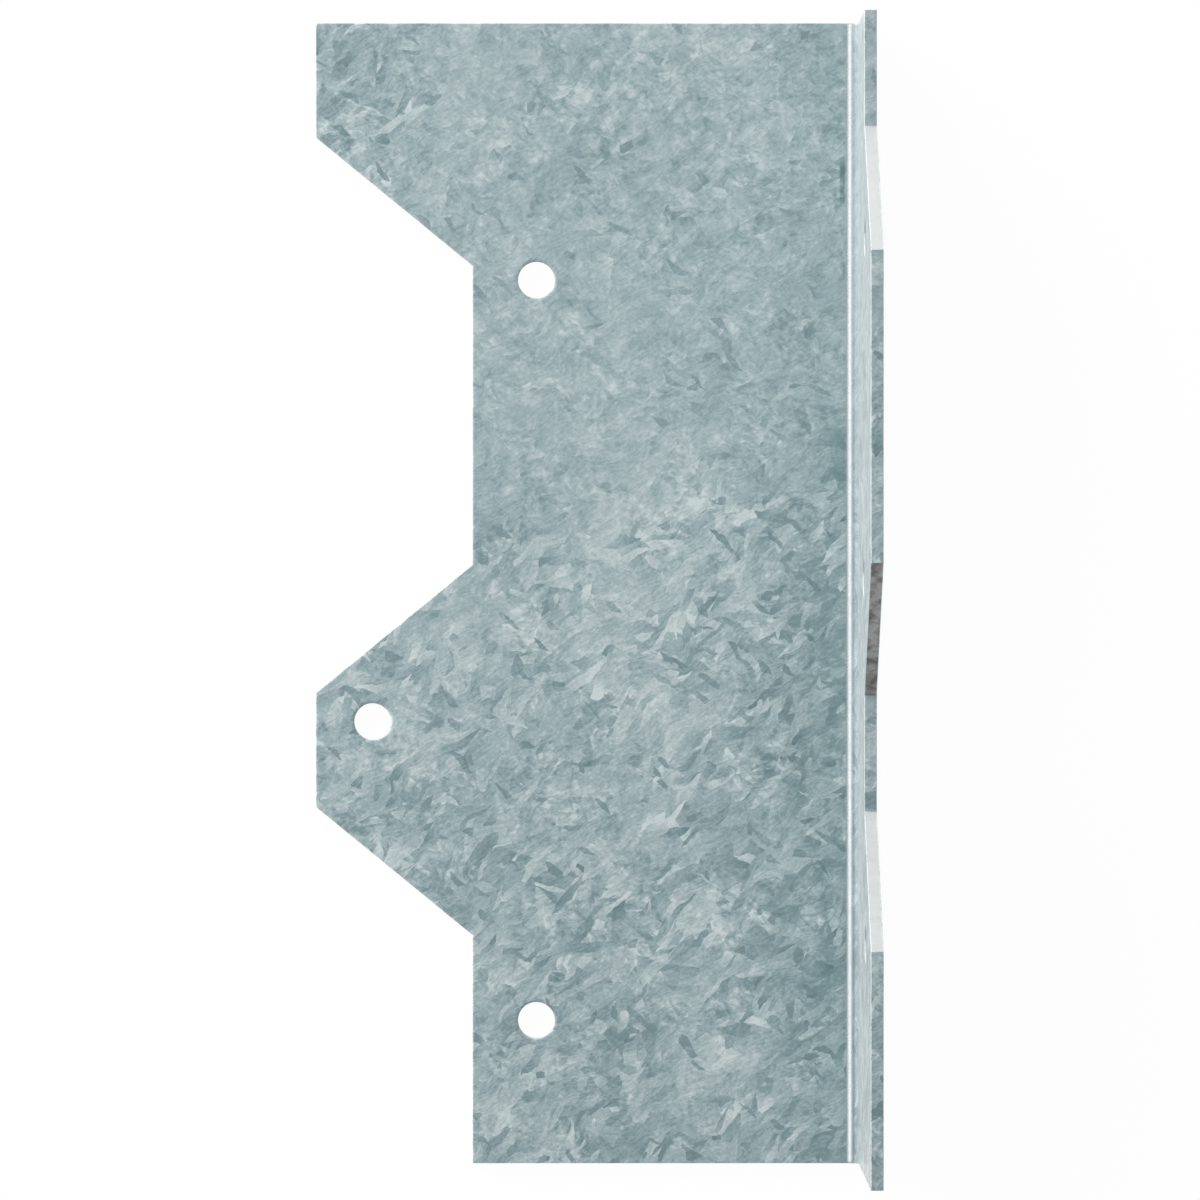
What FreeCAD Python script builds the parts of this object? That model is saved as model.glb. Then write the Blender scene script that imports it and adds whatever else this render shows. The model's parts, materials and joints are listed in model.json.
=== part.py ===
import FreeCAD, Part
import os

# Reinforcing angle: one steel sheet, sheared to a stepped outline, punched with nail holes and folded square.
# It lies on the bearing face of its long leg, and its short leg stands up on the +X side.
# The fold runs along Y. Lengths are in millimetres.

# Sheet and fold
SHEET = 1.37
FOLD_INSIDE_RADIUS = 1.4

# Legs, out to the tips of their tabs, from the heel line where the two bearing faces would meet
LONG_LEG = 61.76
SHORT_LEG = 36.51

# Stepped cut: each stretch along the fold, in order from the +Y end
END_TAB = 12.7
RAMP = 14.29
VALLEY = 33.33
MIDDLE_TAB = 12.7
END_VALLEY = 25.4
NOTCH_DEPTH = 17.46

# Nail holes of the long leg: in from its edge, and along the fold from the nearest corner
HOLE_DIAMETER = 4.1
TAB_HOLE_INSET = 6.3
ROOT_HOLE_INSET = 7.1
TAB_HOLE_STEP = 3.2
VALLEY_HOLE_STEP = 1.6
END_HOLE_STEP = 15.9

# Nail holes of the short leg: out from the line of its notches' roots, and along the fold past a tab's corner
UPPER_HOLE_RISE = 1.15
MIDDLE_HOLE_RISE = -1.85
LOWER_HOLE_RISE = 3.05
UPPER_HOLE_STEP = 2.2
MIDDLE_HOLE_STEP = 1.5

# Stations along the fold, from the +Y end
VALLEY_START = END_TAB + RAMP
VALLEY_STOP = VALLEY_START + VALLEY
MIDDLE_TAB_START = VALLEY_STOP + RAMP
MIDDLE_TAB_STOP = MIDDLE_TAB_START + MIDDLE_TAB
END_VALLEY_START = MIDDLE_TAB_STOP + RAMP
LENGTH = END_VALLEY_START + END_VALLEY

# The heel line, and the directions of each leg away from it and through the sheet from the bearing face
HEEL = FreeCAD.Vector(LONG_LEG / 2, LENGTH / 2, 0)
ALONG = FreeCAD.Vector(0, -1, 0)
LONG_OUT = FreeCAD.Vector(-1, 0, 0)
LONG_IN = FreeCAD.Vector(0, 0, 1)
SHORT_OUT = LONG_IN
SHORT_IN = LONG_OUT
FOLD_OUTSIDE_RADIUS = FOLD_INSIDE_RADIUS + SHEET


def on_leg(out, reach, station):
    """A point on a leg's bearing face: its distance from the heel and its station along the fold."""
    return HEEL + out * reach + ALONG * station


def stepped_cut():
    """Corners of the one cut that parts two nested blanks: station, and the depth taken off the long leg."""
    return [
        (0, 0),
        (END_TAB, 0),
        (VALLEY_START, NOTCH_DEPTH),
        (VALLEY_STOP, NOTCH_DEPTH),
        (MIDDLE_TAB_START, 0),
        (MIDDLE_TAB_STOP, 0),
        (END_VALLEY_START, NOTCH_DEPTH),
        (LENGTH, NOTCH_DEPTH),
    ]


def flat_leg(out, inward, edge):
    """A leg from the fold's tangent line to its stepped edge, as thick as the sheet."""
    corners = [on_leg(out, FOLD_OUTSIDE_RADIUS, 0)]
    corners += [on_leg(out, reach, station) for station, reach in edge]
    corners += [on_leg(out, FOLD_OUTSIDE_RADIUS, LENGTH)]
    outline = Part.makePolygon(corners + corners[:1])
    return Part.Face(outline).extrude(inward * SHEET)


def long_leg():
    edge = [(station, LONG_LEG - depth) for station, depth in stepped_cut()]
    return flat_leg(LONG_OUT, LONG_IN, edge)


def short_leg():
    """The other edge of the same blank: wide where the long leg is narrow."""
    edge = [(station, SHORT_LEG - NOTCH_DEPTH + depth) for station, depth in stepped_cut()]
    return flat_leg(SHORT_OUT, SHORT_IN, edge)


def fold():
    """The strip between the legs, turned a quarter circle round the inside of the fold."""
    start = on_leg(LONG_OUT, FOLD_OUTSIDE_RADIUS, 0)
    corners = [
        start,
        start + LONG_IN * SHEET,
        start + LONG_IN * SHEET + ALONG * LENGTH,
        start + ALONG * LENGTH,
    ]
    strip = Part.Face(Part.makePolygon(corners + corners[:1]))
    centre = start + LONG_IN * FOLD_OUTSIDE_RADIUS
    return strip.revolve(centre, ALONG, 90)


def punch(out, inward, reach, station):
    """The slug of one nail hole, long enough to clear both faces of the sheet."""
    base = on_leg(out, reach, station) - inward * SHEET
    return Part.makeCylinder(HOLE_DIAMETER / 2, SHEET * 3, base, inward)


def long_leg_holes():
    """Two holes in line beside the notches' roots, and one in the middle tab."""
    root_reach = LONG_LEG - NOTCH_DEPTH - ROOT_HOLE_INSET
    tab_reach = LONG_LEG - TAB_HOLE_INSET
    places = [
        (root_reach, VALLEY_START + VALLEY_HOLE_STEP),
        (root_reach, LENGTH - END_HOLE_STEP),
        (tab_reach, MIDDLE_TAB_START + TAB_HOLE_STEP),
    ]
    return [punch(LONG_OUT, LONG_IN, reach, station) for reach, station in places]


def short_leg_holes():
    """Three holes by the corners of the tabs, between the long leg's, so that no two nails meet in the timber."""
    root_reach = SHORT_LEG - NOTCH_DEPTH
    places = [
        (root_reach + UPPER_HOLE_RISE, VALLEY_START - UPPER_HOLE_STEP),
        (root_reach + MIDDLE_HOLE_RISE, VALLEY_STOP + MIDDLE_HOLE_STEP),
        (root_reach + LOWER_HOLE_RISE, END_VALLEY_START),
    ]
    return [punch(SHORT_OUT, SHORT_IN, reach, station) for reach, station in places]


def reinforcing_angle():
    sheet = long_leg().fuse([fold(), short_leg()]).removeSplitter()
    return sheet.cut(long_leg_holes() + short_leg_holes()).Solids[0]


os.makedirs("parts", exist_ok=True)
reinforcing_angle().exportStep("parts/reinforcing_angle.step")
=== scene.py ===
import json
import math
from collections import namedtuple

import bmesh
import bpy
from bpy.props import FloatProperty, FloatVectorProperty, IntProperty, PointerProperty
from mathutils import Matrix, Vector


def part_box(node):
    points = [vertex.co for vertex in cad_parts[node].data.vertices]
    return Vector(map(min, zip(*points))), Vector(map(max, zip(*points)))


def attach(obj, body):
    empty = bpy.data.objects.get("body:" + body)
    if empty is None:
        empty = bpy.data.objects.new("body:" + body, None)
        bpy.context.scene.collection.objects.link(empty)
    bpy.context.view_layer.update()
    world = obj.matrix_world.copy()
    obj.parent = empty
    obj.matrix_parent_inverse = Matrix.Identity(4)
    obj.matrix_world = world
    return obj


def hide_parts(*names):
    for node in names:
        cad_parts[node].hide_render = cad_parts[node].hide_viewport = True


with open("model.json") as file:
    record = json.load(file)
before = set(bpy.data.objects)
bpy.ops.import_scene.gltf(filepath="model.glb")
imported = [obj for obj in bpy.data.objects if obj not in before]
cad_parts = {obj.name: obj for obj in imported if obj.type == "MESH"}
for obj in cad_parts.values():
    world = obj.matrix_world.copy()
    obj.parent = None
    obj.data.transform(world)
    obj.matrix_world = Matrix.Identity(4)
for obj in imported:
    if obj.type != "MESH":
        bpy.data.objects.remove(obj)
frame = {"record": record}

bl_info = {
    "name": "Reinforcing Angle",
    "version": (1, 0, 0),
    "blender": (4, 5, 0),
    "location": "View3D > Sidebar > Angle",
    "description": "Builds a folded galvanised angle with stepped edges, and a plain stage for it",
    "category": "Add Mesh",
}

# The object, in metres, from its frame
NODE = "reinforcing_angle"
LOW, HIGH = (Vector(corner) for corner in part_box(NODE))
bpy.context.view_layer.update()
NAIL_HOLES = [mount for mount in frame["record"]["mounts"] if mount["kind"] == "bore"]
MILLIMETRE = 0.001
SHEET = NAIL_HOLES[0]["dims"]["length_mm"] * MILLIMETRE
HOLE_RADIUS = NAIL_HOLES[0]["dims"]["r_mm"] * MILLIMETRE
HEEL_X = HIGH.x
LENGTH = HIGH.y - LOW.y

# How the mesh is joined, parted at its corners and sorted into faces and cut edges
MERGE_DISTANCE = 0.00001
CUT_CORNER = math.radians(35)
SHADED_CORNER = math.radians(60)
CUT_LEAN = 2.5
FLAT_FACING = 0.99
FLANK_SLOPE = 0.3
MILL_EDGE = 0.002
# The last mark goes on the cut flanks facing -Y; their dark blotched colour is partly painted shade.
FACE, COATED, CLEAN, TORN_AND_SHADED = 0.0, 0.25, 0.6, 1.0

# Places on the flat blank, in millimetres across it from where the fold begins, and along it.
# The outside of the sheet is laid out well clear of the inside.
FAR_SIDE = Vector((0.0, -200.0))
# Where a bright line runs along the fold: a rubbed press mark, lightened as a painted highlight.
PRESS_AND_HIGHLIGHT_LINE = 0.70
# Where a painted shade line runs along the fold, past its highlight.
SHADE_LINE_PLACE = 1.38
FOLD_MIDDLE = 1.64
FOLD_END = 3.2
SMUDGE = (-0.32, 45.8)
PALE_PATCH = (-22.0, 4.0, 0.0)

# Tones run from nought, in pits, to one, on bright crystals. The calm part's lower edge slopes.
MIDDLE_TONE = 0.665
FOLD_TONE = 0.52
BUSY_CONTRAST, CALM_CONTRAST = 1.30, 0.92
CALM_FADE = 0.65
CALM_SLOPE = -0.4
WEAR_FALL = 8.0

# Fine flecks: the limits that most of them lie between, and how far they stand proud, in metres
FLECKED = (0.3, 0.7)
FLECK_HEIGHT = 0.00001

# Crystals at one angle: sizes in millimetres, the share that doesn't show, and their range of tones
Crystals = namedtuple("Crystals", "degrees length width seed rarity reach")
SPANGLE = (
    Crystals(30, 8.5, 4.0, 5.3, 0.50, 0.30),
    Crystals(-48, 5.6, 3.0, 9.7, 0.60, 0.32),
    Crystals(75, 5.0, 1.6, 17.7, 0.74, 0.40),
    Crystals(10, 4.6, 1.1, 31.3, 0.76, 0.44),
    Crystals(-24, 3.2, 0.9, 77.1, 0.80, 0.40),
    Crystals(42, 5.4, 0.9, 61.3, 0.72, 0.48),
    Crystals(62, 2.6, 0.8, 83.9, 0.80, 0.48),
)
PITS = (
    Crystals(20, 1.2, 0.8, 91.3, 0.985, 0.30),
    Crystals(-40, 1.9, 0.6, 127.9, 0.975, 0.24),
)

# Crystals that break up the shading under the rest, each by a step of up to half the reach
Breaks = namedtuple("Breaks", "degrees length width seed reach")
COARSE_BREAKS = Breaks(36, 5.0, 2.6, 3.1, 9.0)
FINE_BREAKS = Breaks(-30, 1.8, 0.8, 9.7, 2.4)
HATCH_STRETCH = 7.0

# Stage: the sensor in millimetres, the shift in widths of the frame, and the gap in metres
SENSOR_WIDTH = 36.0
FRAME_SHIFT = (0.00572, -0.0057)
FLOOR_GAP = 0.00002
FLOOR_PAINT = (0.9, 0.9, 0.9)
WHITE = (1.0, 1.0, 1.0)
DOME_COLOUR = (0.965, 1.0, 1.015)

# Lamps, in metres. The low ones aren't mirrored, so that no face turns white from another side.
Softbox = namedtuple("Softbox", "name place size brightness colour mirrored")
SOFTBOXES = (
    Softbox("left_strip", (-0.57, 0.0, 0.81), (0.9, 0.45), 2.9, WHITE, True),
    Softbox("key", (-0.70, 0.68, 0.27), (1.2, 0.5), 16.0, (1.0, 0.93, 0.90), False),
    Softbox("back_low", (0.1, 0.95, 0.22), (0.8, 0.4), 2.6, WHITE, False),
)


def length_property(name, description, default):
    return FloatProperty(
        name=name, description=description, default=default, unit="LENGTH", precision=5
    )


def colour_property(name, description, default):
    return FloatVectorProperty(
        name=name, description=description, default=default, subtype="COLOR", min=0.0, max=1.0
    )


def share_property(name, description, default):
    return FloatProperty(
        name=name, description=description, default=default, subtype="FACTOR", min=0.0, max=1.0
    )


class AngleSizes(bpy.types.PropertyGroup):
    """The folded sheet, in metres"""

    sheet: length_property("Sheet", "Thickness of the steel", SHEET)
    fold_radius: length_property("Fold radius", "Inside radius of the fold", 0.0014)
    notch_depth: length_property("Notch depth", "From a tab's tip to a notch's root", 0.01746)
    end_tab: length_property("End tab", "Length of the long leg's end tab", 0.0127)
    ramp: length_property("Ramp", "Length along the fold of each sloping flank", 0.01429)
    valley: length_property("Valley", "Length of the root between the two tabs", 0.03333)
    middle_tab: length_property("Middle tab", "Length of the long leg's middle tab", 0.0127)
    hole_radius: length_property("Hole radius", "Nail holes", HOLE_RADIUS)
    edge_break: length_property("Edge break", "Width of the corner worn off every cut", 0.00007)
    edge_wear: length_property("Edge wear", "How far in from a cut the coating is rubbed", 0.0004)
    edge_steps: IntProperty(name="Edge steps", description="Faces across a corner", default=2, min=1)
    fold_steps: IntProperty(name="Fold steps", description="Faces across the fold", default=24, min=4)
    hole_sides: IntProperty(name="Hole sides", description="Faces round a hole", default=64, min=12)


class SpangleFinish(bpy.types.PropertyGroup):
    """The zinc coating"""

    deep: colour_property("Deep", "Pits and the darkest crystals", (0.107, 0.181, 0.195))
    dull: colour_property("Dull", "Crystals turned away from the light", (0.195, 0.284, 0.303))
    plain: colour_property("Plain", "Most of the coating", (0.337, 0.436, 0.455))
    bright: colour_property("Bright", "Crystals turned to the light", (0.597, 0.677, 0.686))
    bare: colour_property("Bare", "Steel on a clean cut", (0.385, 0.405, 0.41))
    stain: colour_property("Stain", "Torn steel that has begun to brown", (0.29, 0.265, 0.24))
    # Painted shade: the darkest colour in the blotches on the flanks facing -Y.
    deep_shade: colour_property("Soot", "The deepest tears", (0.13, 0.145, 0.15))
    # A light colour for the line along the fold: rubbed steel, made light as a painted highlight.
    polish_and_painted_highlight: colour_property("Polish", "The line rubbed along the fold", (0.415, 0.429, 0.429))
    # The two colours below are a painted sheen on the short leg's inside, standing in for the light it
    # catches.
    painted_sheen_low: colour_property("Scuff, low", "Dull on the short leg's inside", (0.280, 0.307, 0.320))
    painted_sheen_high: colour_property("Scuff, high", "Bright on the same face", (0.515, 0.562, 0.582))
    metallic: share_property("Metallic", "Share of bare zinc", 0.4)
    roughness: share_property("Roughness", "Of the plain coating", 0.36)
    burnish: share_property("Burnish", "How much smoother the fold is", 0.15)


class StageSettings(bpy.types.PropertyGroup):
    """Camera, floor and light"""

    camera_height: length_property("Camera height", "Above the long leg's inside face", 0.761)
    lens: FloatProperty(name="Lens", description="Focal length", default=204.93, unit="CAMERA")
    floor_width: length_property("Floor width", "Side of the square floor", 8.0)
    shadow: share_property("Shadow", "How far the floor darkens in shadow", 0.03)
    dome: FloatProperty(name="Dome", description="Brightness overhead", default=0.34)
    back_light: FloatProperty(
        name="Back light", description="How many times brighter at the +Y horizon", default=2.4
    )


def opaque(colour):
    return (*colour, 1.0)


def make_node(tree, kind, inputs=None, **settings):
    """Adds a node, with its settings and with its inputs linked or set."""
    made = tree.nodes.new(kind)
    for name, value in settings.items():
        setattr(made, name, value)
    for name, value in (inputs or {}).items():
        if isinstance(value, bpy.types.NodeSocket):
            tree.links.new(value, made.inputs[name])
        else:
            made.inputs[name].default_value = value
    return made


def stepped_cut(sizes):
    """Stations from the +Y end, each with the depth that the cut takes off the long leg."""
    runs = [sizes.end_tab, sizes.ramp, sizes.valley, sizes.ramp, sizes.middle_tab, sizes.ramp]
    depths = [0.0, sizes.notch_depth, sizes.notch_depth, 0.0, 0.0, sizes.notch_depth]
    cut = [(0.0, 0.0)]
    for run, depth in zip(runs, depths):
        cut.append((cut[-1][0] + run, depth))
    cut.append((LENGTH, sizes.notch_depth))
    return cut


def fill_leg(bm, corners, holes, sizes):
    """Fills one leg's inside face, leaving its nail holes open, and returns its edge at the fold."""
    verts = [bm.verts.new(corner) for corner in corners]
    edges = [bm.edges.new(ends) for ends in zip(verts, verts[1:] + verts[:1])]
    for place in holes:
        ring = bmesh.ops.create_circle(
            bm, cap_ends=False, radius=sizes.hole_radius, segments=sizes.hole_sides, matrix=place
        )
        edges += dict.fromkeys(edge for vert in ring["verts"] for edge in vert.link_edges)
    bmesh.ops.triangle_fill(bm, use_beauty=True, use_dissolve=True, edges=edges)
    return edges[len(corners) - 1]


def nail_places(axis):
    """Where the nail holes of the leg square to this axis break its inside face."""
    number = [abs(part) for part in axis].index(1)
    mounts = [mount for mount in NAIL_HOLES if abs(mount["axis"][number]) == 1]
    rise = Vector(axis) * (SHEET / 2)
    turn = Vector(axis).to_track_quat("Z", "Y").to_matrix().to_4x4()
    return [Matrix.Translation(Vector(mount["pos_m"]) + rise) @ turn for mount in mounts]


def inside_surface(sizes):
    """The inside face of the folded sheet: both legs, and the fold spun between them."""
    bm = bmesh.new()
    tangent = sizes.fold_radius + sizes.sheet
    long_leg = HIGH.x - LOW.x
    short_root = HIGH.z - LOW.z - sizes.notch_depth
    cut = stepped_cut(sizes)
    long_edge = [(0.0, tangent), *((s, long_leg - depth) for s, depth in cut), (LENGTH, tangent)]
    short_edge = [(0.0, tangent), *((s, short_root + depth) for s, depth in cut), (LENGTH, tangent)]
    long_corners = [Vector((HEEL_X - reach, HIGH.y - s, sizes.sheet)) for s, reach in long_edge]
    short_corners = [Vector((HEEL_X - sizes.sheet, HIGH.y - s, reach)) for s, reach in short_edge]
    heel = fill_leg(bm, long_corners, nail_places((0, 0, 1)), sizes)
    fill_leg(bm, short_corners, nail_places((-1, 0, 0)), sizes)
    bmesh.ops.spin(
        bm,
        geom=[heel, *heel.verts],
        cent=(HEEL_X - tangent, 0.0, tangent),
        axis=(0.0, 1.0, 0.0),
        angle=-math.pi / 2,
        steps=sizes.fold_steps,
    )
    bmesh.ops.remove_doubles(bm, verts=bm.verts, dist=MERGE_DISTANCE)
    bmesh.ops.recalc_face_normals(bm, faces=bm.faces)
    return bm


def folded_sheet_mesh(sizes):
    """The inside face given the sheet's thickness, worn along its cuts and laid out on the blank."""
    bm = inside_surface(sizes)
    lowest = min(bm.faces, key=lambda face: face.calc_center_median().z)
    if lowest.normal.z < 0:
        bmesh.ops.reverse_faces(bm, faces=bm.faces)
    bmesh.ops.inset_region(
        bm, faces=bm.faces, thickness=sizes.edge_wear, use_boundary=True, use_even_offset=True
    )
    bmesh.ops.solidify(bm, geom=bm.faces, thickness=sizes.sheet)
    bmesh.ops.bevel(
        bm,
        geom=[edge for edge in bm.edges if edge.calc_face_angle(0.0) > CUT_CORNER],
        offset=sizes.edge_break,
        offset_type="OFFSET",
        affect="EDGES",
        segments=sizes.edge_steps,
        profile=0.5,
        material=-1,
        clamp_overlap=True,
    )
    large = [face for face in bm.faces if len(face.verts) > 4]
    bmesh.ops.triangulate(bm, faces=large, quad_method="BEAUTY", ngon_method="BEAUTY")
    for face in bm.faces:
        face.smooth = True
    mark_blank(bm, sizes)
    mesh = bpy.data.meshes.new("folded_sheet")
    bm.to_mesh(mesh)
    bm.free()
    return mesh


def on_blank(spot, sizes):
    """A point's place on the flat blank, its depth below the inside face, and the sheet's turn there."""
    outside_radius = sizes.fold_radius + sizes.sheet
    neutral_radius = sizes.fold_radius + sizes.sheet / 2
    x = spot.x - (HEEL_X - outside_radius)
    z = spot.z - outside_radius
    if x <= 0:
        across, depth, turn = x, sizes.sheet - spot.z, 0.0
    elif z >= 0:
        turn = math.pi / 2
        across, depth = neutral_radius * turn + z, x - sizes.fold_radius
    else:
        turn = math.atan2(x, -z)
        across, depth = neutral_radius * turn, math.hypot(x, z) - sizes.fold_radius
    return Vector((across, spot.y)) / MILLIMETRE, depth / MILLIMETRE, turn


def bareness(face, out):
    """Long edges along the fold come coated from the mill. Other cut faces are marked clean, or, where
    they face -Y, marked for dark blotches that are partly stain and partly painted shade.
    """
    longest = max(edge.calc_length() for edge in face.edges)
    slope = out.normalized().y
    if longest > MILL_EDGE and abs(slope) < FLANK_SLOPE:
        return COATED
    return TORN_AND_SHADED if slope < -FLANK_SLOPE else CLEAN


def mark_blank(bm, sizes):
    """Lays the sheet out flat, with each cut edge beside the face it borders, and marks the edges."""
    layout = bm.loops.layers.uv.new("blank")
    cut_edge = bm.faces.layers.float.new("cut_edge")
    wear = bm.verts.layers.float.new("wear")
    for face in bm.faces:
        _, _, turn = on_blank(face.calc_center_median(), sizes)
        normal = face.normal
        out = Vector((normal.x * math.cos(turn) + normal.z * math.sin(turn), normal.y))
        through = normal.z * math.cos(turn) - normal.x * math.sin(turn)
        is_cut = out.length > CUT_LEAN * abs(through)
        face[cut_edge] = bareness(face, out) if is_cut else FACE
        for loop in face.loops:
            place, depth, _ = on_blank(loop.vert.co, sizes)
            if is_cut:
                place += out.normalized() * depth
            elif through < 0:
                place += FAR_SIDE
            loop[layout].uv = place
            if abs(through) < FLAT_FACING:
                loop.vert[wear] = 1.0


class Coating:
    """The spangle's node tree, in millimetres on the flat blank."""

    def __init__(self, material):
        material.use_nodes = True
        self.tree = material.node_tree
        self.tree.nodes.clear()

    def add(self, kind, inputs=None, **settings):
        return make_node(self.tree, kind, inputs, **settings)

    def attribute(self, name):
        return self.add("ShaderNodeAttribute", attribute_name=name).outputs["Fac"]

    def maths(self, operation, first, second=0.0, third=0.0):
        inputs = {0: first, 1: second, 2: third}
        return self.add("ShaderNodeMath", inputs, operation=operation).outputs["Value"]

    def total(self, first, *others):
        for other in others:
            first = self.maths("ADD", first, other)
        return first

    def product(self, first, *others):
        for other in others:
            first = self.maths("MULTIPLY", first, other)
        return first

    def vector(self, operation, first, second):
        key = "Scale" if operation == "SCALE" else 1
        made = self.add("ShaderNodeVectorMath", {0: first, key: second}, operation=operation)
        return made.outputs["Value" if operation == "DISTANCE" else "Vector"]

    def axes(self, place):
        """How far across the blank a place is, and how far along it."""
        parts = self.add("ShaderNodeSeparateXYZ", {"Vector": place}).outputs
        return parts["X"], parts["Y"]

    def lay(self, place, degrees, scale, location=(0.0, 0.0, 0.0)):
        """The place on a grid of its own, turned, moved and scaled."""
        settings = {
            "Vector": place,
            "Location": location,
            "Rotation": (0.0, 0.0, math.radians(degrees)),
            "Scale": scale,
        }
        return self.add("ShaderNodeMapping", settings, vector_type="TEXTURE").outputs["Vector"]

    def ease(self, value, low, high, to_low=0.0, to_high=1.0):
        """A smooth step of the value, from one pair of limits to another."""
        inputs = {
            "Value": value,
            "From Min": low,
            "From Max": high,
            "To Min": to_low,
            "To Max": to_high,
        }
        return self.add("ShaderNodeMapRange", inputs, interpolation_type="SMOOTHSTEP").outputs["Result"]

    def band(self, value, middle, inner, outer):
        """One within the inner distance of the middle, and nought beyond the outer."""
        away = self.maths("ABSOLUTE", self.maths("SUBTRACT", value, middle))
        return self.ease(away, inner, outer, 1.0, 0.0)

    def blend(self, share, first, second):
        """A number between two."""
        return self.add("ShaderNodeMix", {0: share, 2: first, 3: second}).outputs[0]

    def tint(self, share, first, second):
        """A colour between two."""
        inputs = {0: share, 6: first, 7: second}
        return self.add("ShaderNodeMix", inputs, data_type="RGBA").outputs[2]

    def noise(self, place, size, detail, roughness=0.5, output="Fac"):
        inputs = {"Vector": place, "Scale": 1.0 / size, "Detail": detail, "Roughness": roughness}
        return self.add("ShaderNodeTexNoise", inputs, noise_dimensions="2D").outputs[output]

    def swing(self, place, size, reach, detail, roughness=0.5):
        """Noise about zero, out to about half the reach on either side."""
        middle = self.maths("SUBTRACT", self.noise(place, size, detail, roughness), 0.5)
        return self.maths("MULTIPLY", middle, reach)

    def step(self, place, colour, reach):
        """The place, moved by a colour taken about its middle."""
        push = self.vector("SUBTRACT", colour, (0.5, 0.5, 0.5))
        return self.vector("ADD", place, self.vector("SCALE", push, reach))

    def wander(self, place, size, reach, detail):
        """The place, pushed about so that straight crystal edges come out ragged."""
        return self.step(place, self.noise(place, size, detail, output="Color"), reach)

    def cells(self, place, kind):
        """Long crystals lying at one angle: the place in their own scale, and what each of them is."""
        lain = self.lay(place, kind.degrees, (kind.length, kind.width, 1.0), (kind.seed, kind.seed, 0.0))
        found = self.add("ShaderNodeTexVoronoi", {"Vector": lain, "Scale": 1.0}, voronoi_dimensions="2D")
        return lain, found.outputs

    def broken(self, place, kind):
        """The place, moved by a step in each crystal, so that what is drawn there breaks at its edges."""
        _, found = self.cells(place, kind)
        return self.step(place, found["Color"], kind.reach)

    def hatching(self, place, degrees, width, reach):
        """Fine broken lines at one angle."""
        lain = self.lay(place, degrees, (HATCH_STRETCH, 1.0, 1.0))
        return self.swing(lain, width, reach, detail=1.0)

    def flakes(self, under, place, kind, cover, middle):
        """Lays a few crystals at one angle over the tones under them, each shaded from end to end."""
        lain, found = self.cells(place, kind)
        random = self.add("ShaderNodeSeparateColor", {"Color": found["Color"]}).outputs
        end, _ = self.axes(self.vector("SUBTRACT", lain, found["Position"]))
        lean = self.maths("MULTIPLY_ADD", random["Blue"], 2.0 * kind.reach, -kind.reach)
        shade = self.maths("MULTIPLY_ADD", end, lean, middle - 0.5 * kind.reach)
        shade = self.maths("MULTIPLY_ADD", random["Green"], kind.reach, shade)
        shown = self.product(self.maths("GREATER_THAN", random["Red"], kind.rarity), cover)
        return self.blend(shown, under, shade)


def calm_share(coat, place):
    """One in the upper part of the long leg, where the crystals are faint, and nought elsewhere."""
    across, along = coat.axes(place)
    upper = coat.maths("MULTIPLY_ADD", across, CALM_SLOPE, along)
    upper = coat.total(upper, coat.swing(place, size=20.0, reach=24.0, detail=0.0))
    return coat.product(coat.ease(upper, 12.0, 28.0), coat.ease(across, -53.0, -42.0))


def spangle_tone(coat, place):
    """Light and dark over the blank: crystals at many angles, on finely broken shading."""
    calm = calm_share(coat, place)
    turned = coat.wander(place, size=6.0, reach=1.5, detail=0.0)
    bent = coat.wander(turned, size=3.0, reach=1.3, detail=4.0)
    coarse = coat.broken(bent, COARSE_BREAKS)
    fine = coat.broken(coarse, FINE_BREAKS)
    tone = coat.total(
        coat.swing(coarse, size=2.6, reach=0.64, detail=1.0),
        coat.swing(fine, size=1.0, reach=0.64, detail=1.0),
    )
    lively = coat.ease(coat.noise(place, size=7.0, detail=1.0), 0.40, 0.60, 0.35, 0.80)
    lively = coat.product(lively, coat.maths("MULTIPLY_ADD", calm, -CALM_FADE, 1.0))
    for kind in SPANGLE:
        tone = coat.flakes(tone, bent, kind, cover=lively, middle=-0.02)
    for kind in PITS:
        tone = coat.flakes(tone, bent, kind, cover=0.60, middle=-0.30)
    grain = coat.total(
        coat.swing(place, size=0.45, reach=0.32, detail=2.0, roughness=0.8),
        coat.hatching(bent, degrees=30, width=0.2, reach=0.26),
    )
    away = coat.vector("DISTANCE", place, PALE_PATCH)
    mottle = coat.total(
        coat.swing(place, size=18.0, reach=0.22, detail=2.0),
        coat.ease(away, 4.0, 16.0, 0.045, 0.0),
    )
    contrast = coat.maths("MULTIPLY_ADD", calm, CALM_CONTRAST - BUSY_CONTRAST, BUSY_CONTRAST)
    return coat.total(coat.product(coat.total(tone, grain), contrast), mottle, MIDDLE_TONE)


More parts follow.
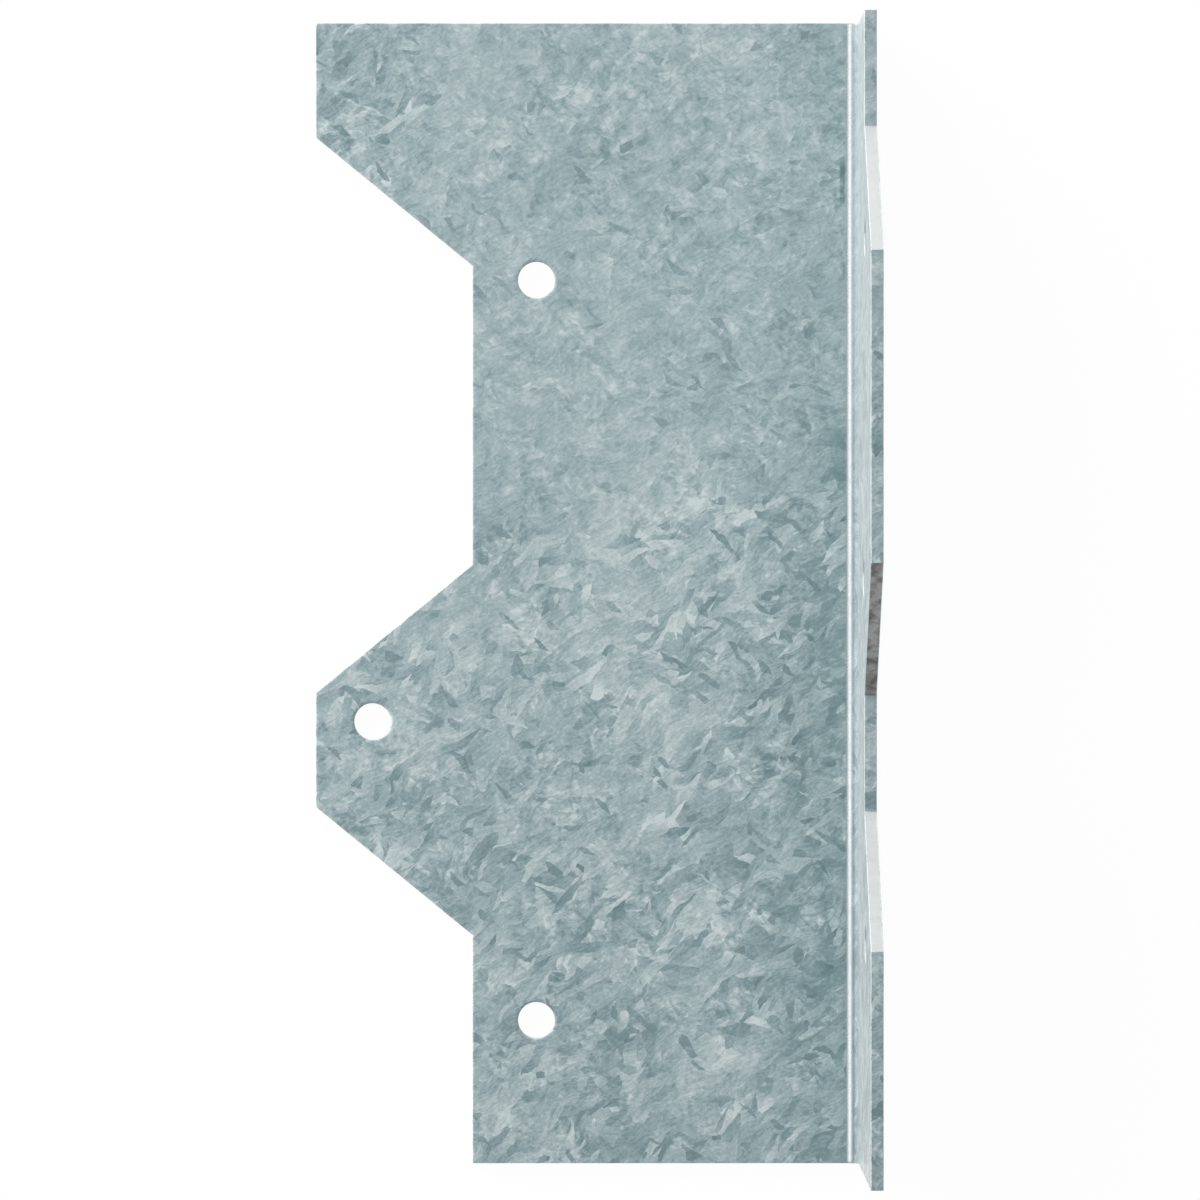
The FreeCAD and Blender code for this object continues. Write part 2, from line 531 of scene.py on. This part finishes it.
def worn_and_shaded_tone(coat, place, fleck, on_face, fold):
    """The spangle's tone, with wear and marks, painted shade beside and along the fold, and a painted
    highlight on worn corners.
    """
    across, along = coat.axes(place)
    # Painted shade: the long leg darkened beside the fold, more strongly towards the -Y end.
    fold_painted_shade = coat.product(
        coat.ease(across, -14.0, -1.5),
        coat.maths("LESS_THAN", across, 0.5 * FOLD_END),
        coat.ease(along, 8.0, 28.0, -0.20, -0.12),
    )
    smudge = coat.product(
        coat.band(along, SMUDGE[1], 1.4, 2.8),
        coat.band(across, SMUDGE[0], 0.12, 0.42),
        coat.ease(fleck, *FLECKED, -0.56, -0.28),
    )
    # Worn corners, rubbed bright and further lightened as a painted highlight, most on the short leg.
    rubbed_corner_and_highlight = coat.product(
        coat.maths("POWER", coat.attribute("wear"), WEAR_FALL),
        on_face,
        coat.ease(fleck, *FLECKED, 0.15, 0.50),
        coat.ease(across, 0.0, 3.0, 0.2, 1.2),
    )
    # Painted shade: a dark line across the fold past its highlight, darker towards the -Y end.
    crease_painted_shade = coat.product(
        coat.band(across, SHADE_LINE_PLACE, 0.15, 0.60),
        coat.ease(along, -55.0, -15.0, -0.23, -0.08),
    )
    tone = coat.total(spangle_tone(coat, place), fold_painted_shade, smudge, rubbed_corner_and_highlight)
    return coat.total(coat.blend(coat.product(fold, 0.4), tone, FOLD_TONE), crease_painted_shade)


def shade_of(coat, tone, finish):
    """The coating's colour for each tone, from pits to bright crystals."""
    ramp = coat.add("ShaderNodeValToRGB", {"Fac": tone})
    stops = ramp.color_ramp.elements
    shades = ((0.0, finish.deep), (0.38, finish.dull), (0.66, finish.plain), (1.0, finish.bright))
    while len(stops) < len(shades):
        stops.new(0.5)
    for stop, (position, shade) in zip(stops, shades):
        stop.position = position
        stop.color = opaque(shade)
    return ramp.outputs["Color"]


def cut_steel(coat, place, cut_edge, finish):
    """Bare steel on the flanks cut clean, and darker blotched steel on the flanks facing -Y: partly brown
    stain, partly painted shade.
    """
    blotch = coat.noise(place, size=1.6, detail=2.0, roughness=0.6)
    stained_and_shaded = coat.tint(coat.ease(blotch, 0.36, 0.44), opaque(finish.deep_shade), opaque(finish.stain))
    stained_and_shaded = coat.tint(coat.ease(blotch, 0.50, 0.58), stained_and_shaded, opaque(finish.bare))
    torn_and_shaded = coat.ease(cut_edge, CLEAN + 0.1, TORN_AND_SHADED - 0.1)
    return coat.tint(torn_and_shaded, opaque(finish.bare), stained_and_shaded)


def colour_with_painted_light(coat, colour, tone, place, fleck, on_face, finish):
    """The colour, greyed and lightened on the short leg's inside as a painted sheen, and made bright
    along the fold's press line as a painted highlight.
    """
    across, along = coat.axes(place)
    inside = coat.product(on_face, coat.maths("GREATER_THAN", along, 0.5 * FAR_SIDE.y))
    # Painted light: the short leg's inside lighter just past the fold and darker towards its top edge.
    painted_bounce = coat.product(
        coat.ease(across, 2.5, FOLD_END),
        coat.ease(across, FOLD_END, 34.0, 0.07, -0.06),
    )
    # Painted sheen: the short leg's inside turned greyer and lighter, standing in for the light it
    # catches.
    sheen_share = coat.ease(coat.total(tone, painted_bounce), 0.30, 1.02)
    painted_sheen = coat.tint(sheen_share, opaque(finish.painted_sheen_low), opaque(finish.painted_sheen_high))
    colour = coat.tint(coat.product(coat.ease(across, 0.8, 3.4, 0.0, 0.85), inside), colour, painted_sheen)
    # Painted highlight: a bright line along the fold where the left strip lamp is reflected, partly a
    # rubbed press mark.
    line = coat.product(
        coat.band(across, PRESS_AND_HIGHLIGHT_LINE, 0.20, 0.68),
        inside,
        coat.ease(fleck, *FLECKED, 0.85, 1.0),
    )
    polished_and_lit = coat.tint(coat.ease(along, 20.0, 60.0), opaque(finish.polish_and_painted_highlight), opaque(finish.bare))
    return coat.tint(line, colour, polished_and_lit)


def spangle_material(finish):
    """The coating of both faces and of the edges, read from the blank's layout and its marks."""
    material = bpy.data.materials.new("galvanised_spangle")
    coat = Coating(material)
    place = coat.add("ShaderNodeUVMap", uv_map="blank").outputs["UV"]
    cut_edge = coat.attribute("cut_edge")
    on_face = coat.maths("LESS_THAN", cut_edge, 0.5 * COATED)
    fleck = coat.noise(place, size=0.5, detail=1.0)
    fold = coat.band(coat.axes(place)[0], FOLD_MIDDLE, 1.5, 1.75)
    tone = worn_and_shaded_tone(coat, place, fleck, on_face, fold)
    steel = cut_steel(coat, place, cut_edge, finish)
    bared = coat.ease(cut_edge, COATED + 0.05, CLEAN - 0.1, 0.0, 0.9)
    colour = coat.tint(bared, shade_of(coat, tone, finish), steel)
    colour = colour_with_painted_light(coat, colour, tone, place, fleck, on_face, finish)
    gloss = coat.ease(tone, 0.3, 1.0, finish.roughness + 0.10, finish.roughness - 0.06)
    relief = coat.add("ShaderNodeBump", {"Strength": 0.5, "Distance": FLECK_HEIGHT, "Height": fleck})
    shader = coat.add(
        "ShaderNodeBsdfPrincipled",
        {
            "Base Color": colour,
            "Metallic": finish.metallic,
            "Roughness": coat.maths("MULTIPLY_ADD", fold, -finish.burnish, gloss),
            "Normal": relief.outputs["Normal"],
        },
    )
    coat.add("ShaderNodeOutputMaterial", {"Surface": shader.outputs["BSDF"]})
    return material


class ANGLE_OT_folded_sheet(bpy.types.Operator):
    """Build the folded sheet and its zinc coating"""

    bl_idname = "angle.folded_sheet"
    bl_label = "Folded Sheet"

    def execute(self, context):
        mesh = folded_sheet_mesh(context.scene.angle_sizes)
        mesh.materials.append(spangle_material(context.scene.angle_finish))
        piece = bpy.data.objects.new("folded_sheet", mesh)
        context.scene.collection.objects.link(piece)
        mesh.set_sharp_from_angle(angle=SHADED_CORNER)
        smooth = piece.modifiers.new("Even shading", "WEIGHTED_NORMAL")
        smooth.keep_sharp = True
        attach(piece, "root")
        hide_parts(NODE)
        return {"FINISHED"}


def floor_material(shadow):
    """White to the eye and in the metal, less a little where the object shades it."""
    material = bpy.data.materials.new("floor_white")
    material.use_nodes = True
    tree = material.node_tree
    tree.nodes.clear()

    def maths(operation, first, second):
        inputs = {0: first, 1: second}
        return make_node(tree, "ShaderNodeMath", inputs, operation=operation).outputs["Value"]

    path = make_node(tree, "ShaderNodeLightPath").outputs
    seen = maths("MAXIMUM", path["Is Camera Ray"], path["Is Glossy Ray"])
    seen = maths("MAXIMUM", seen, path["Is Transmission Ray"])
    share = maths("MULTIPLY", seen, 1.0 - shadow)
    paint = make_node(tree, "ShaderNodeBsdfDiffuse", {"Color": opaque(FLOOR_PAINT)})
    white = make_node(tree, "ShaderNodeEmission", {"Color": opaque(WHITE), "Strength": 1.0})
    layers = {0: share, 1: paint.outputs["BSDF"], 2: white.outputs["Emission"]}
    mixed = make_node(tree, "ShaderNodeMixShader", layers)
    make_node(tree, "ShaderNodeOutputMaterial", {"Surface": mixed.outputs["Shader"]})
    return material


def add_floor(scene, settings):
    """A square floor just under the object."""
    bm = bmesh.new()
    bmesh.ops.create_grid(bm, x_segments=1, y_segments=1, size=settings.floor_width / 2)
    bmesh.ops.translate(bm, verts=bm.verts, vec=(0.0, 0.0, LOW.z - FLOOR_GAP))
    mesh = bpy.data.meshes.new("floor")
    bm.to_mesh(mesh)
    bm.free()
    mesh.materials.append(floor_material(settings.shadow))
    floor = bpy.data.objects.new("floor", mesh)
    scene.collection.objects.link(floor)


def add_softbox(scene, softbox):
    """A rectangular lamp aimed at the middle of the object, with its first side level."""
    lamp = bpy.data.lights.new(softbox.name, "AREA")
    lamp.color = softbox.colour
    lamp.shape = "RECTANGLE"
    lamp.size, lamp.size_y = softbox.size
    lamp.energy = softbox.brightness * math.pi * lamp.size * lamp.size_y
    box = bpy.data.objects.new(softbox.name, lamp)
    box.location = softbox.place
    box.rotation_euler = (-Vector(softbox.place)).to_track_quat("-Z", "Y").to_euler()
    box.visible_camera = False
    box.visible_glossy = softbox.mirrored
    scene.collection.objects.link(box)


def add_world(scene, settings):
    """A soft dome that brightens towards +Y."""
    world = bpy.data.worlds.new("dome")
    world.use_nodes = True
    tree = world.node_tree
    tree.nodes.clear()
    way = make_node(tree, "ShaderNodeTexCoord").outputs["Generated"]
    back = make_node(tree, "ShaderNodeSeparateXYZ", {"Vector": way}).outputs["Y"]
    times = make_node(tree, "ShaderNodeMath", {0: settings.back_light, 1: back}, operation="POWER")
    level = make_node(
        tree, "ShaderNodeMath", {0: times.outputs["Value"], 1: settings.dome}, operation="MULTIPLY"
    )
    light = make_node(
        tree,
        "ShaderNodeBackground",
        {"Color": opaque(DOME_COLOUR), "Strength": level.outputs["Value"]},
    )
    make_node(tree, "ShaderNodeOutputWorld", {"Surface": light.outputs["Background"]})
    scene.world = world


def add_camera(scene, settings, sheet):
    """A camera that looks straight down, a little off the object's middle."""
    camera = bpy.data.cameras.new("camera")
    camera.lens = settings.lens
    camera.sensor_width = SENSOR_WIDTH
    camera.shift_x, camera.shift_y = FRAME_SHIFT
    seat = bpy.data.objects.new("camera", camera)
    seat.location = (0.0, 0.0, sheet + settings.camera_height)
    scene.collection.objects.link(seat)
    scene.camera = seat


class ANGLE_OT_stage(bpy.types.Operator):
    """Set the floor, the light and the camera"""

    bl_idname = "angle.stage"
    bl_label = "Stage"

    def execute(self, context):
        scene = context.scene
        settings = scene.angle_stage
        add_floor(scene, settings)
        add_world(scene, settings)
        for softbox in SOFTBOXES:
            add_softbox(scene, softbox)
        add_camera(scene, settings, scene.angle_sizes.sheet)
        scene.view_settings.view_transform = "Standard"
        return {"FINISHED"}


class ANGLE_PT_sidebar(bpy.types.Panel):
    """Lists the pieces and the stage"""

    bl_label = "Reinforcing Angle"
    bl_idname = "ANGLE_PT_sidebar"
    bl_space_type = "VIEW_3D"
    bl_region_type = "UI"
    bl_category = "Angle"

    def draw(self, context):
        for operator in OPERATORS:
            self.layout.operator(operator.bl_idname)


GROUPS = {"angle_sizes": AngleSizes, "angle_finish": SpangleFinish, "angle_stage": StageSettings}
OPERATORS = (ANGLE_OT_folded_sheet, ANGLE_OT_stage)
CLASSES = (*GROUPS.values(), *OPERATORS, ANGLE_PT_sidebar)


def register():
    for cls in CLASSES:
        bpy.utils.register_class(cls)
    for name, group in GROUPS.items():
        setattr(bpy.types.Scene, name, PointerProperty(type=group))


def unregister():
    for name in GROUPS:
        delattr(bpy.types.Scene, name)
    for cls in reversed(CLASSES):
        bpy.utils.unregister_class(cls)


def main():
    register()
    bpy.ops.angle.folded_sheet()
    bpy.ops.angle.stage()


if __name__ == "__main__":
    main()
